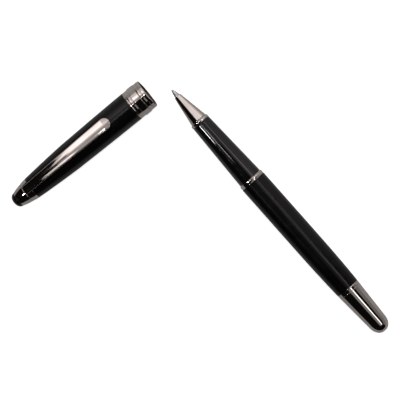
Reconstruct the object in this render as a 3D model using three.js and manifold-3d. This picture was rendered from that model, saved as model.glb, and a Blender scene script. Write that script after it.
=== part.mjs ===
// A capped rollerball pen, lying uncapped with its cap beside it. Millimetres, +Z up.
// The pen's axis runs along +X from the writing point. Both the pen and the cap rest on z = 0.
import * as THREE from "three";
import { mergeVertices } from "three/addons/utils/BufferGeometryUtils.js";
import Module from "manifold-3d";

const wasm = await Module();
wasm.setup();

// ---------- driving dimensions ----------
// Lengths along the pen, from the writing point back.
const TIP_LENGTH = 3.35; // the refill's point, where it stands out of the nose cone
const NOSE_LENGTH = 12.35;
const FRONT_RING_WIDTH = 1.3;
const SECTION_LENGTH = 28.8;
const BARREL_RING_WIDTH = 1.53;
const BARREL_LENGTH = 55.0;
const BARREL_TAPER_LENGTH = 22.4; // the stretch behind the straight part of the barrel
const TAIL_RING_WIDTH = 1.6;
const TAIL_LENGTH = 20.4;
const TAIL_ROUND_LENGTH = 5.4;
const TAIL_SOLID = 6.1; // metal left behind the tail's bore

// The pen's radii build up from the refill outwards, by these walls and steps.
const REFILL_R = 3.0;
const REFILL_WALL = 0.4;
const REFILL_FRONT_R = 1.9;
const REFILL_TIP_R = 1.15;
const BALL_R = 0.35;
const NOSE_WALL_FRONT = 0.2;
const NOSE_RIM = 0.75; // the nose cone's back edge, outside its spigot
const SPIGOT_STEP = 0.65;
const CORE_WALL = 0.3;
const SECTION_WALL_FRONT = 0.43;
const SECTION_WALL_BACK = 0.95;
const FRONT_RING_STAND = 0.1;
const THREAD_STEP = 0.57;
const THREAD_DEPTH = 0.22;
const THREAD_PITCH = 0.75;
const THREAD_LENGTH = 5.2;
const BUSH_WALL = 0.48;
const BARREL_WALL = 0.8;
const BARREL_WALL_END = 0.95;
const BARREL_RING_INSET = 0.08;
const SLEEVE_WALL = 0.62;
const SLEEVE_REACH = 7; // into the barrel tube
const SLEEVE_REACH_TAIL = 6;
const TAIL_INSET = 0.11;
const TAIL_WALL = 0.61;

const SPRING_R = 2.2;
const SPRING_WIRE_R = 0.24;
const SPRING_TURNS = 5;
const SPRING_LENGTH = 5.4;
const SPRING_CUP_HEIGHT = 2.3;

// The cap, whose distances are from its mouth. It is as deep as the pen's front needs.
const LINER_WALL = 0.5;
const LINER_FLOOR = 1;
const LINER_INSET = 0.3; // from the mouth to the inner cap's front edge
const LEAD_IN = 0.9; // the inner cap's flared entrance
const TIP_ROOM = 4.2; // from the writing point to the inner cap's floor
const BAND_WALL = 0.5;
const CENTER_BAND_STAND = 0.21;
const LIP_WIDTH = 1.3;
const RING_2_WIDTH = 1.45;
const CENTER_BAND_WIDTH = 2.95;
const RING_3_WIDTH = 1.5;
const THIN_RING_WIDTH = 0.72;
const CAP_WALL = 0.5;
const CAP_FLOOR = 1.1;
const CAP_R_END = 4.62;
const CAP_REST_SLOPE = 0.0175; // radius lost per length between the centre band and the tube's waist
const WAIST_LENGTH = 12;
const CAP_ROUND_LENGTH = 19.9; // the tube's last stretch, which rounds in to the collar
const COLLAR_LENGTH = 2.65;
const COLLAR_R_BACK = 4.2;
const CROWN_SHELL_LENGTH = 4.4;
const CROWN_FLOOR = 0.7;
const CROWN_R_BACK = 3.13;
const CROWN_INSERT_LENGTH = 2.2;
const STUD_R = 1.4;
const NUT_R = 2.7;
const NUT_HEIGHT = 2.3;
const NUT_ROOM = 6.1; // from the inner cap to the cap tube's floor

const CLIP_LENGTH = 43.2;
const CLIP_WIDTH_TIP = 4.9;
const CLIP_WIDTH_ROOT = 3.4;
const CLIP_THICKNESS = 0.95;
const CLIP_CROWN = 0.17; // the rise of its back from the edges to the middle
const CLIP_GAP = 0.6;
const CLIP_ROLL = THREE.MathUtils.degToRad(8.5);

// Clearances.
const FIT = 0.03; // pressed or seated pieces
const RUN = 0.1; // pieces that slide or turn in each other
const CAP_CLEARANCE = 0.17; // between the section and the inner cap
const SPRING_ROOM = 0.35; // between the refill and the tail's bore

// Where the cap lies: its mouth's centre beside the pen, and the turn from the pen's axis.
const CAP_MOUTH_X = -5.2;
const CAP_MOUTH_GAP = 2.45; // from the barrel's widest radius to the mouth's centre
const CAP_SWING = THREE.MathUtils.degToRad(87.59);

const FACETS = 32;
const INNER_FACETS = 24;
const FACET_SHARE = Math.cos(Math.PI / FACETS); // a facet's middle lies this share of the radius out

// ---------- looks ----------
const look = (color, roughness, metalness) => ({ color, roughness, metalness });
const POLISHED = look(0xb9b0ac, 0.12, 1);
const SATIN_BLACK = look(0x141416, 0.5, 0);
const GLOSS_BLACK = look(0x08080a, 0.12, 0);
const BRASS = look(0xb08d4c, 0.3, 1);
const STEEL = look(0xa8a8aa, 0.28, 1);
const GEL = look(0xc9c6a8, 0.6, 0);
const DARK_PLASTIC = look(0x222326, 0.55, 0);

function piece(name, geometry, { color, roughness, metalness }) {
  const mesh = new THREE.Mesh(
    geometry,
    new THREE.MeshStandardMaterial({ color, roughness, metalness }),
  );
  mesh.name = name;
  return mesh;
}

// ---------- shapes ----------
// A turned solid about Y from [distance, radius] points, in the order: outside forwards, inside back.
function turned(points, facets = FACETS) {
  const outline = points.map(([along, radius]) => new THREE.Vector2(Math.max(radius, 0), along));
  const first = outline[0];
  const last = outline[outline.length - 1];
  const onAxis = first.x === 0 && last.x === 0;
  if (!onAxis) outline.push(first.clone());
  return new THREE.LatheGeometry(outline, facets, Math.PI / facets);
}

// Points from start to end, both left out, on a curve given by its share of the way.
function between(count, curve) {
  return Array.from({ length: count }, (_, i) => curve((i + 1) / (count + 1)));
}

// A short tube, its outer edges broken by a small bevel.
function ring(start, end, outer, inner, bevel = 0.12) {
  return turned([
    [start, inner],
    [start, outer - bevel],
    [start + bevel, outer],
    [end - bevel, outer],
    [end, outer - bevel],
    [end, inner],
  ]);
}

function solidOf(geometry) {
  const bare = geometry.clone();
  bare.deleteAttribute("normal");
  bare.deleteAttribute("uv");
  const merged = mergeVertices(bare, 1e-4);
  return new wasm.Manifold(
    new wasm.Mesh({
      numProp: 3,
      vertProperties: merged.attributes.position.array,
      triVerts: new Uint32Array(merged.index.array),
    }),
  );
}

function geometryOf(solid) {
  const { vertProperties, triVerts, numProp } = solid.getMesh();
  const positions = new Float32Array((vertProperties.length / numProp) * 3);
  for (let i = 0; i < positions.length / 3; i++)
    positions.set(vertProperties.subarray(i * numProp, i * numProp + 3), i * 3);
  const geometry = new THREE.BufferGeometry();
  geometry.setAttribute("position", new THREE.BufferAttribute(positions, 3));
  geometry.setIndex(Array.from(triVerts));
  return geometry;
}

const cut = (geometry, tool) => geometryOf(solidOf(geometry).subtract(solidOf(tool)));

// A closed solid through loops of equal length, with both ends closed by a fan.
function loft(loops) {
  const size = loops[0].length;
  const positions = loops.flat().flatMap((p) => [p.x, p.y, p.z]);
  const index = [];
  for (let row = 0; row < loops.length - 1; row++)
    for (let i = 0; i < size; i++) {
      const a = row * size + i;
      const b = row * size + ((i + 1) % size);
      index.push(a, b, a + size, b, b + size, a + size);
    }
  const lastRow = (loops.length - 1) * size;
  for (let i = 1; i < size - 1; i++) {
    index.push(0, i + 1, i);
    index.push(lastRow, lastRow + i, lastRow + i + 1);
  }
  const geometry = new THREE.BufferGeometry();
  geometry.setAttribute("position", new THREE.Float32BufferAttribute(positions, 3));
  geometry.setIndex(index);
  return geometry;
}

// ---------- the pen's stations and radii ----------
const noseEnd = TIP_LENGTH + NOSE_LENGTH;
const frontRingEnd = noseEnd + FRONT_RING_WIDTH;
const sectionEnd = frontRingEnd + SECTION_LENGTH;
const barrelRingStart = sectionEnd + 0.05;
const barrelRingEnd = barrelRingStart + BARREL_RING_WIDTH;
const barrelStart = barrelRingEnd + FIT;
const barrelEnd = barrelStart + BARREL_LENGTH;
const tailRingEnd = barrelEnd + TAIL_RING_WIDTH;
const penEnd = tailRingEnd + TAIL_LENGTH;
const springCupEnd = penEnd - TAIL_SOLID;
const refillEnd = springCupEnd - SPRING_CUP_HEIGHT - SPRING_LENGTH;
const sleeveStart = barrelEnd - SLEEVE_REACH;
const sleeveEnd = tailRingEnd + SLEEVE_REACH_TAIL;
const refillShoulder = frontRingEnd + 2.2;

const coreBore = REFILL_R + RUN;
const coreR = coreBore + CORE_WALL;
const spigotR = coreR - SPIGOT_STEP;
const noseR = spigotR + NOSE_RIM;
const sectionFrontR = coreR + FIT + SECTION_WALL_FRONT;
const frontRingR = sectionFrontR + FRONT_RING_STAND;
const threadR = coreR + THREAD_STEP;
const sectionBackR = threadR + FIT + SECTION_WALL_BACK;
const bushBore = threadR + RUN;
const bushR = bushBore + BUSH_WALL;
const barrelBore = bushR + FIT;
const barrelR = barrelBore + BARREL_WALL;
const tailBore = REFILL_R + SPRING_ROOM;
const sleeveR = tailBore + SLEEVE_WALL;
const barrelEndR = sleeveR + FIT + BARREL_WALL_END;
const tailR = barrelEndR - TAIL_INSET;
const tailShoulderR = tailBore + TAIL_WALL;

// ---------- the refill ----------
const refillBore = REFILL_R - REFILL_WALL;
const noseBore = REFILL_FRONT_R + RUN;
const holderStart = TIP_LENGTH + 6.15;
const refillTipTail = holderStart + 3; // end of the point's tail inside the plastic holder
const holderFlange = 0.45;
const holderPlugEnd = refillShoulder + holderFlange + 4.5; // the holder's plug ends inside the tube
const tipTailR = REFILL_TIP_R - 0.3;

function writingBall() {
  const ball = new THREE.SphereGeometry(BALL_R, 16, 12).translate(0, BALL_R, 0);
  return piece("writing_ball", ball, STEEL);
}

// The metal point: a socket that closes round the ball past its middle, and a duct behind it.
function refillTip() {
  const socket = BALL_R + 0.02;
  const opening = BALL_R - 0.05;
  const duct = 0.12;
  const from = Math.PI - Math.asin(opening / socket);
  const to = Math.asin(duct / socket);
  const onSocket = (share) => {
    const angle = to + (from - to) * share;
    return [BALL_R + socket * Math.cos(angle), socket * Math.sin(angle)];
  };
  const points = [
    onSocket(1),
    [onSocket(1)[0], BALL_R + 0.04],
    [TIP_LENGTH - 0.15, REFILL_TIP_R],
    [holderStart - FIT, REFILL_TIP_R],
    [holderStart - FIT, tipTailR],
    [refillTipTail, tipTailR],
    [refillTipTail, duct],
    onSocket(0),
    ...between(7, onSocket),
  ];
  return piece("refill_tip", turned(points, INNER_FACETS), STEEL);
}

function refillFront() {
  const socket = tipTailR + FIT;
  const duct = 0.5;
  const plug = refillBore - FIT;
  const flangeEnd = refillShoulder + holderFlange;
  const points = [
    [holderStart, socket],
    [holderStart, REFILL_FRONT_R - 0.2],
    [holderStart + 0.4, REFILL_FRONT_R],
    [refillShoulder, REFILL_FRONT_R],
    [refillShoulder, REFILL_R],
    [flangeEnd, REFILL_R],
    [flangeEnd, plug],
    [holderPlugEnd, plug],
    [holderPlugEnd, duct],
    [refillTipTail + FIT, duct],
    [refillTipTail + FIT, socket],
  ];
  return piece("refill_front", turned(points, INNER_FACETS), DARK_PLASTIC);
}

const plugFlange = 0.6;
const plugReach = 4; // into the tube

function refillTube() {
  const start = refillShoulder + holderFlange + FIT;
  const end = refillEnd - plugFlange - FIT;
  const points = [
    [start, refillBore],
    [start, REFILL_R],
    [end, REFILL_R],
    [end, refillBore],
  ];
  return piece("refill_tube", turned(points, INNER_FACETS), STEEL);
}

function refillPlug() {
  const flangeAt = refillEnd - plugFlange;
  const points = [
    [flangeAt - plugReach, 0],
    [flangeAt - plugReach, refillBore - FIT],
    [flangeAt, refillBore - FIT],
    [flangeAt, REFILL_R],
    [refillEnd, REFILL_R - 0.15],
    [refillEnd, 0],
  ];
  return piece("refill_plug", turned(points, INNER_FACETS), DARK_PLASTIC);
}

// The plug of grease that follows the ink towards the point, here in a nearly used refill.
function inkFollower() {
  const start = holderPlugEnd + 0.5;
  const end = start + 5;
  const radius = refillBore - RUN / 2;
  const points = [
    [start, 0],
    [start, radius],
    [end, radius],
    [end, 0],
  ];
  return piece("ink_follower", turned(points, INNER_FACETS), GEL);
}

// ---------- the section ----------
const coreStep = sectionEnd - 1.4; // where the core widens inside the section's back end
const threadStart = sectionEnd + 1.4;
const threadEnd = threadStart + THREAD_LENGTH;

function noseCone() {
  const tipBore = REFILL_TIP_R + RUN;
  const frontR = tipBore + NOSE_WALL_FRONT;
  const points = [
    [TIP_LENGTH, tipBore],
    [TIP_LENGTH, frontR - 0.06],
    [TIP_LENGTH + 0.08, frontR],
    [noseEnd - FIT, noseR],
    [noseEnd - FIT, spigotR],
    [refillShoulder - RUN, spigotR],
    [refillShoulder - RUN, noseBore],
    [holderStart - RUN, noseBore],
    [holderStart - 2, tipBore],
  ];
  return piece("nose_cone", turned(points), POLISHED);
}

function frontRing() {
  const points = [
    [noseEnd, spigotR + FIT],
    [noseEnd, noseR + 0.08],
    [noseEnd + 0.4, frontRingR],
    [frontRingEnd - 0.12, frontRingR],
    [frontRingEnd, frontRingR - 0.1],
    [frontRingEnd, spigotR + FIT],
  ];
  return piece("front_ring", turned(points), POLISHED);
}

function sectionGrip() {
  const start = frontRingEnd + FIT;
  const span = sectionEnd - start;
  const rise = sectionBackR - sectionFrontR;
  const flare = (share) => [start + span * share, sectionFrontR + rise * share ** 0.97];
  const points = [
    [start, coreR + FIT],
    flare(0),
    ...between(3, flare),
    flare(1),
    [sectionEnd, threadR + FIT],
    [coreStep, threadR + FIT],
    [coreStep, coreR + FIT],
  ];
  return piece("section_grip", turned(points), GLOSS_BLACK);
}

// The metal sleeve in the section: it holds the nose in front and carries the male thread behind.
function sectionCore() {
  const start = frontRingEnd + FIT;
  const rootR = threadR - THREAD_DEPTH;
  const seat = refillShoulder - RUN / 2;
  const turns = Math.floor(THREAD_LENGTH / THREAD_PITCH);
  const ridges = Array.from({ length: turns }, (_, i) => {
    const at = threadStart + i * THREAD_PITCH;
    return [
      [at, rootR],
      [at + THREAD_PITCH * 0.4, threadR],
      [at + THREAD_PITCH * 0.6, threadR],
    ];
  });
  const points = [
    [start, spigotR + FIT],
    [start, coreR],
    [coreStep + FIT, coreR],
    [coreStep + FIT, threadR],
    [sectionEnd, threadR],
    [sectionEnd + 0.3, rootR],
    ...ridges.flat(),
    [threadEnd, rootR],
    [threadEnd, coreBore],
    [seat, coreBore],
    [seat, spigotR + FIT],
  ];
  return piece("section_core", turned(points, INNER_FACETS), BRASS);
}

// ---------- the barrel ----------
function barrelRing() {
  const shape = ring(barrelRingStart, barrelRingEnd, barrelR - BARREL_RING_INSET, bushBore);
  return piece("barrel_ring", shape, POLISHED);
}

function barrelBush() {
  const end = threadEnd + 1.2;
  const points = [
    [barrelStart, bushBore],
    [barrelStart, bushR],
    [end, bushR],
    [end, bushBore],
  ];
  return piece("barrel_bush", turned(points, INNER_FACETS), BRASS);
}

function barrelTube() {
  const taperStart = barrelEnd - BARREL_TAPER_LENGTH;
  const drop = barrelR - barrelEndR;
  const taper = (share) => [
    taperStart + BARREL_TAPER_LENGTH * share,
    barrelR - drop * share ** 2,
  ];
  const points = [
    [barrelStart, barrelBore],
    [barrelStart, barrelR - 0.08],
    [barrelStart + 0.1, barrelR],
    [taperStart, barrelR],
    ...between(3, taper),
    [barrelEnd, barrelEndR],
    [barrelEnd, sleeveR + FIT],
    [sleeveStart - FIT, sleeveR + FIT],
    [sleeveStart - 3, barrelBore],
  ];
  return piece("barrel_tube", turned(points), SATIN_BLACK);
}

// The sleeve that joins the tube to the tail, pressed into both.
function tailSleeve() {
  const points = [
    [sleeveStart, tailBore],
    [sleeveStart, sleeveR],
    [sleeveEnd, sleeveR],
    [sleeveEnd, tailBore],
  ];
  return piece("tail_sleeve", turned(points, INNER_FACETS), BRASS);
}

function tailRing() {
  const shape = ring(barrelEnd + FIT, tailRingEnd - FIT, tailR + FIT, sleeveR + FIT, 0.1);
  return piece("tail_ring", shape, POLISHED);
}

function tailCone() {
  const shoulder = penEnd - TAIL_ROUND_LENGTH;
  const fullness = 2 / 2.25; // a little squarer than a true ellipse
  const rounding = (share) => {
    const angle = (share * Math.PI) / 2;
    return [
      shoulder + TAIL_ROUND_LENGTH * Math.sin(angle) ** fullness,
      tailShoulderR * Math.cos(angle) ** fullness,
    ];
  };
  const points = [
    [springCupEnd + FIT, 0],
    [springCupEnd + FIT, tailBore],
    [sleeveEnd + FIT, tailBore],
    [sleeveEnd + FIT, sleeveR + FIT],
    [tailRingEnd, sleeveR + FIT],
    [tailRingEnd, tailR - 0.14],
    [tailRingEnd + 0.14, tailR],
    [shoulder, tailShoulderR],
    ...between(6, rounding),
    [penEnd, 0],
  ];
  return piece("tail_cone", turned(points), POLISHED);
}

function springCup() {
  const seat = springCupEnd - SPRING_CUP_HEIGHT + RUN;
  const pinEnd = seat - SPRING_LENGTH / 2;
  const pinR = SPRING_R - SPRING_WIRE_R - RUN;
  const points = [
    [pinEnd, 0],
    [pinEnd, pinR - 0.15],
    [seat, pinR],
    [seat, tailBore - RUN],
    [springCupEnd, tailBore - RUN],
    [springCupEnd, 0],
  ];
  return piece("spring_cup", turned(points, INNER_FACETS), DARK_PLASTIC);
}

class Coil extends THREE.Curve {
  getPoint(share, target = new THREE.Vector3()) {
    const angle = share * SPRING_TURNS * 2 * Math.PI;
    const run = SPRING_LENGTH - 2 * SPRING_WIRE_R - 2 * RUN;
    const along = refillEnd + RUN + SPRING_WIRE_R + run * share;
    return target.set(SPRING_R * Math.cos(angle), along, SPRING_R * Math.sin(angle));
  }
}

function refillSpring() {
  const wire = new THREE.Shape().absarc(0, 0, SPRING_WIRE_R, 0, 2 * Math.PI);
  const geometry = new THREE.ExtrudeGeometry(wire, {
    steps: SPRING_TURNS * 12,
    curveSegments: 3,
    extrudePath: new Coil(),
  });
  return piece("refill_spring", geometry, STEEL);
}

// ---------- the cap ----------
const mouthBore = sectionBackR + CAP_CLEARANCE;
const linerR = mouthBore + LINER_WALL;
const bandBore = linerR + FIT;
const bandR = bandBore + BAND_WALL;
const centerBandR = bandR + CENTER_BAND_STAND;
const capTubeR = bandR + 0.05;
const ring2End = LIP_WIDTH + RING_2_WIDTH;
const centerBandEnd = ring2End + CENTER_BAND_WIDTH;
const ring3End = centerBandEnd + RING_3_WIDTH;
const capTubeStart = ring3End + THIN_RING_WIDTH + FIT;
const linerEnd = sectionEnd + TIP_ROOM + LINER_FLOOR;
const capTubeEnd = linerEnd + NUT_ROOM + CAP_FLOOR;
const waistEnd = capTubeEnd - CAP_ROUND_LENGTH;
const waistStart = waistEnd - WAIST_LENGTH;
const centerBevel = 0.15;
const bandCorner = centerBandEnd - centerBevel;
const gripR = frontRingR + RUN; // the inner cap closes on the pen's front ring
const gripStart = sectionEnd - noseEnd - 3;
const gripEnd = gripStart + 7;
const linerTaper = gripStart - 7;
const pointR = noseR - RUN; // round the nose cone and the point
const collarStart = capTubeEnd + FIT;
const collarEnd = collarStart + COLLAR_LENGTH;
const shellStart = collarEnd + FIT;
const shellEnd = shellStart + CROWN_SHELL_LENGTH;
const capEnd = shellEnd + FIT + CROWN_INSERT_LENGTH;
const studBore = STUD_R + FIT;

// The line through the centre band's edge that the tube's waist also touches: the cap lies on it.
const restLine = (along) => centerBandR - CAP_REST_SLOPE * (along - bandCorner);

// The tube's outer radius behind its waist, rounding in towards the collar.
function tubeRadius(along) {
  const share = Math.max(0, (along - waistEnd) / CAP_ROUND_LENGTH);
  const slopeDrop = CAP_REST_SLOPE * CAP_ROUND_LENGTH;
  const roundDrop = restLine(waistEnd) - slopeDrop - CAP_R_END;
  return restLine(waistEnd) - slopeDrop * share - roundDrop * share ** 1.4;
}

function capBands() {
  const lipPoints = [
    [0, bandBore + 0.1],
    [0, bandR - 0.2],
    [0.2, bandR],
    [LIP_WIDTH - 0.1, bandR],
    [LIP_WIDTH, bandR - 0.1],
    [LIP_WIDTH, bandBore],
    [0.1, bandBore],
  ];
  const band = (name, start, end, radius, bevel) =>
    piece(name, ring(start + FIT, end, radius, bandBore, bevel), POLISHED);
  return [
    piece("cap_lip_ring", turned(lipPoints), POLISHED),
    band("cap_ring_2", LIP_WIDTH, ring2End, bandR, 0.14),
    band("cap_center_band", ring2End, centerBandEnd, centerBandR, centerBevel),
    band("cap_ring_3", centerBandEnd, ring3End, bandR, 0.14),
    band("cap_thin_ring", ring3End, capTubeStart - FIT, bandR - 0.02, 0.1),
  ];
}

function capTube() {
  const rounding = (share) => {
    const along = waistEnd + CAP_ROUND_LENGTH * share;
    return [along, tubeRadius(along)];
  };
  const floorAt = capTubeEnd - CAP_FLOOR;
  const halfway = (capTubeStart + waistStart) / 2;
  const points = [
    [capTubeStart, bandBore],
    [capTubeStart, capTubeR - 0.08],
    [capTubeStart + 0.1, capTubeR],
    [halfway, (capTubeR + restLine(waistStart)) / 2 + 0.02],
    [waistStart, restLine(waistStart)],
    [waistEnd, restLine(waistEnd)],
    ...between(4, rounding),
    rounding(1),
    [capTubeEnd, studBore],
    [floorAt, studBore],
    [floorAt, tubeRadius(floorAt) - CAP_WALL],
    [linerEnd, tubeRadius(linerEnd) - CAP_WALL],
    [waistEnd, restLine(waistEnd) - CAP_WALL],
    [linerTaper + 2, bandBore],
  ];
  return piece("cap_tube", turned(points), SATIN_BLACK);
}

// The liner that closes round the point, so that the ink doesn't dry.
function innerCap() {
  const floorAt = linerEnd - LINER_FLOOR;
  const points = [
    [floorAt, 0],
    [floorAt, pointR],
    [gripEnd + 1, pointR],
    [gripEnd, gripR],
    [gripStart, gripR],
    [linerTaper, mouthBore],
    [LINER_INSET + LEAD_IN, mouthBore],
    [LINER_INSET, linerR - 0.1],
    [LINER_INSET, linerR],
    [linerTaper, linerR],
    [gripStart, gripR + LINER_WALL],
    [linerEnd, pointR + LINER_WALL],
    [linerEnd, 0],
  ];
  return piece("inner_cap", turned(points, INNER_FACETS), DARK_PLASTIC);
}

// ---------- the crown ----------
const crownSpigotR = CROWN_R_BACK - 0.5;
const nutStart = capTubeEnd - CAP_FLOOR - NUT_HEIGHT;

// The shell's outer radius: it falls away slowly, then faster towards the insert.
function crownRadius(along) {
  const share = (along - shellStart) / CROWN_SHELL_LENGTH;
  const drop = COLLAR_R_BACK - CROWN_R_BACK;
  return COLLAR_R_BACK - drop * (0.75 * share + 0.25 * share ** 3);
}

function clipCollar(clipSlot) {
  const middle = (collarStart + collarEnd) / 2;
  const points = [
    [collarStart, studBore],
    [collarStart, CAP_R_END - 0.1],
    [collarStart + 0.1, CAP_R_END - 0.01],
    [middle, (CAP_R_END + COLLAR_R_BACK) / 2 + 0.03],
    [collarEnd - 0.12, COLLAR_R_BACK + 0.03],
    [collarEnd, COLLAR_R_BACK - 0.12],
    [collarEnd, studBore],
  ];
  return piece("clip_collar", cut(turned(points), clipSlot), POLISHED);
}

function crownShell() {
  const wallAt = (share) => {
    const along = shellStart + CROWN_SHELL_LENGTH * share;
    return [along, crownRadius(along)];
  };
  const points = [
    [shellStart, studBore],
    [shellStart, COLLAR_R_BACK - 0.24],
    [shellStart + 0.12, COLLAR_R_BACK - 0.08],
    [shellStart + 0.34, crownRadius(shellStart + 0.34)],
    ...between(4, wallAt),
    wallAt(1),
    [shellEnd, crownSpigotR + FIT],
    [shellStart + CROWN_FLOOR, crownSpigotR + FIT],
    [shellStart + CROWN_FLOOR, studBore],
  ];
  return piece("crown_shell", turned(points), POLISHED);
}

function crownInsert() {
  const start = shellEnd + FIT;
  const base = CROWN_R_BACK - FIT;
  const rise = capEnd - start;
  const dome = (share) => {
    const angle = (share * Math.PI) / 2;
    return [start + rise * Math.sin(angle), base * Math.cos(angle) ** 0.85];
  };
  const socketEnd = start + rise * 0.2;
  const points = [
    [socketEnd, 0],
    [socketEnd, studBore],
    [shellStart + CROWN_FLOOR + FIT, studBore],
    [shellStart + CROWN_FLOOR + FIT, crownSpigotR],
    [start, crownSpigotR],
    dome(0),
    ...between(6, dome),
    [capEnd, 0],
  ];
  return piece("crown_insert", turned(points), GLOSS_BLACK);
}

function crownStud() {
  const end = shellEnd + FIT;
  const points = [
    [nutStart - 0.8, 0],
    [nutStart - 0.8, STUD_R - 0.2],
    [nutStart - 0.6, STUD_R],
    [end, STUD_R],
    [end, 0],
  ];
  return piece("crown_stud", turned(points, INNER_FACETS), STEEL);
}

function crownNut() {
  const corners = Array.from({ length: 6 }, (_, i) => {
    const angle = (i * Math.PI) / 3;
    return new THREE.Vector2(NUT_R * Math.cos(angle), NUT_R * Math.sin(angle));
  });
  const outline = new THREE.Shape(corners);
  outline.holes.push(new THREE.Path().absarc(0, 0, studBore, 0, 2 * Math.PI, true));
  const geometry = new THREE.ExtrudeGeometry(outline, {
    depth: NUT_HEIGHT - FIT,
    bevelEnabled: false,
    curveSegments: 12,
  });
  geometry.rotateX(-Math.PI / 2).translate(0, nutStart, 0);
  return piece("crown_nut", geometry, BRASS);
}

// ---------- the clip ----------
const clipRoot = collarEnd - 0.1;
const clipTip = clipRoot - CLIP_LENGTH;
const footLength = 0.9;
const footDepth = 0.9;
const footHalfWidth = 1.2;
const footMiddle = collarStart + COLLAR_LENGTH * 0.55;

// The height of the clip's back above the cap's axis.
function clipTop(along) {
  const share = (along - clipTip) / CLIP_LENGTH;
  const high = restLine(clipTip + 6) + CLIP_GAP + CLIP_THICKNESS;
  const low = CAP_R_END + CLIP_THICKNESS + 0.12;
  return high + (low - high) * share ** 2.2 - 0.3 * Math.max(0, 1 - share * 12) ** 2;
}

function clipHalfWidth(along) {
  const share = (along - clipTip) / CLIP_LENGTH;
  const straight = (CLIP_WIDTH_TIP + (CLIP_WIDTH_ROOT - CLIP_WIDTH_TIP) * share) / 2;
  const intoTip = Math.min(1, (along - clipTip) / straight);
  return straight * Math.sqrt(Math.max(0, 1 - (1 - intoTip) ** 2));
}

// One cross-section of the clip: flat underside, broken edges and a slightly crowned back.
function clipSection(along) {
  const half = Math.max(clipHalfWidth(along), 0.15);
  const top = clipTop(along);
  const under = top - CLIP_THICKNESS;
  const edge = Math.min(0.42, half * 0.4);
  const outline = [
    [-half + edge * 0.5, under],
    [-half, under + 0.25],
    [-half, top - CLIP_CROWN - 0.3],
    [-half + edge, top - CLIP_CROWN],
    [-half / 2, top - CLIP_CROWN * 0.3],
    [0, top],
    [half / 2, top - CLIP_CROWN * 0.3],
    [half - edge, top - CLIP_CROWN],
    [half, top - CLIP_CROWN - 0.3],
    [half, under + 0.25],
    [half - edge * 0.5, under],
  ];
  return outline.map(([across, up]) => new THREE.Vector3(across, along, up));
}

function clipArm() {
  const roundTip = [0.05, 0.35, 0.9, 1.7, 2.6].map((step) => clipTip + step);
  const rest = CLIP_LENGTH - 2.6;
  const straight = between(8, (share) => clipTip + 2.6 + rest * share);
  return loft([...roundTip, ...straight, clipRoot].map(clipSection));
}

// The foot under the clip's root, and the slot for it in the collar.
function clipFoot(gap) {
  const top = clipTop(footMiddle) - CLIP_THICKNESS / 2;
  const bottom = COLLAR_R_BACK - footDepth - gap;
  return new THREE.BoxGeometry(
    2 * (footHalfWidth + gap),
    footLength + 2 * gap,
    top - bottom,
  ).translate(0, footMiddle, (top + bottom) / 2);
}

// The boss under the clip's tip, which presses on the tube.
function clipBoss() {
  const at = clipTip + 3;
  const under = clipTop(at) - CLIP_THICKNESS;
  const reach = under - (restLine(at) + 0.05);
  return new THREE.CylinderGeometry(0.9, 0.55, reach + 0.3, 16)
    .rotateX(Math.PI / 2)
    .translate(0, at, under + 0.15 - reach / 2);
}

function clip() {
  const solid = solidOf(clipArm()).add(solidOf(clipFoot(0))).add(solidOf(clipBoss()));
  return piece("clip", geometryOf(solid), POLISHED);
}

// ---------- the whole ----------
function pen() {
  const group = new THREE.Group();
  group.add(writingBall(), refillTip(), refillFront(), refillTube(), refillPlug(), inkFollower());
  group.add(noseCone(), frontRing(), sectionGrip(), sectionCore());
  group.add(barrelRing(), barrelBush(), barrelTube(), tailSleeve(), tailRing(), tailCone());
  group.add(springCup(), refillSpring());
  group.rotation.z = -Math.PI / 2;
  group.position.z = barrelR * FACET_SHARE;
  return group;
}

function cap() {
  const turning = new THREE.Group();
  const clipMesh = clip();
  clipMesh.rotation.y = CLIP_ROLL;
  const slot = clipFoot(RUN).rotateY(CLIP_ROLL);
  turning.add(...capBands(), capTube(), innerCap(), clipCollar(slot), clipMesh);
  turning.add(crownShell(), crownInsert(), crownStud(), crownNut());
  const tilt = Math.atan(CAP_REST_SLOPE * FACET_SHARE);
  turning.rotation.x = -tilt;
  const group = new THREE.Group();
  group.add(turning);
  group.rotation.z = CAP_SWING + Math.PI / 2;
  const cornerDrop = centerBandR * FACET_SHARE + Math.tan(tilt) * bandCorner;
  group.position.set(CAP_MOUTH_X, -barrelR - CAP_MOUTH_GAP, cornerDrop * Math.cos(tilt));
  return group;
}

const object = new THREE.Group();
object.add(pen(), cap());
object.updateMatrixWorld(true);
const box = new THREE.Box3().setFromObject(object, true);
const middle = box.getCenter(new THREE.Vector3());
object.position.set(-middle.x, -middle.y, -box.min.z);

export default object;
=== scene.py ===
"""A rollerball pen lying uncapped, with its cap beside it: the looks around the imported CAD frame.

Everything is in metres in the row frame. The turned pieces are fine lathe meshes about the pen's
axis or the cap's axis. Both axes come from the CAD nodes. Stations along an axis and radii are in
millimetres, as on a turner's drawing.
"""

import math

import bmesh
import bpy
from mathutils import Matrix, Vector


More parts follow.
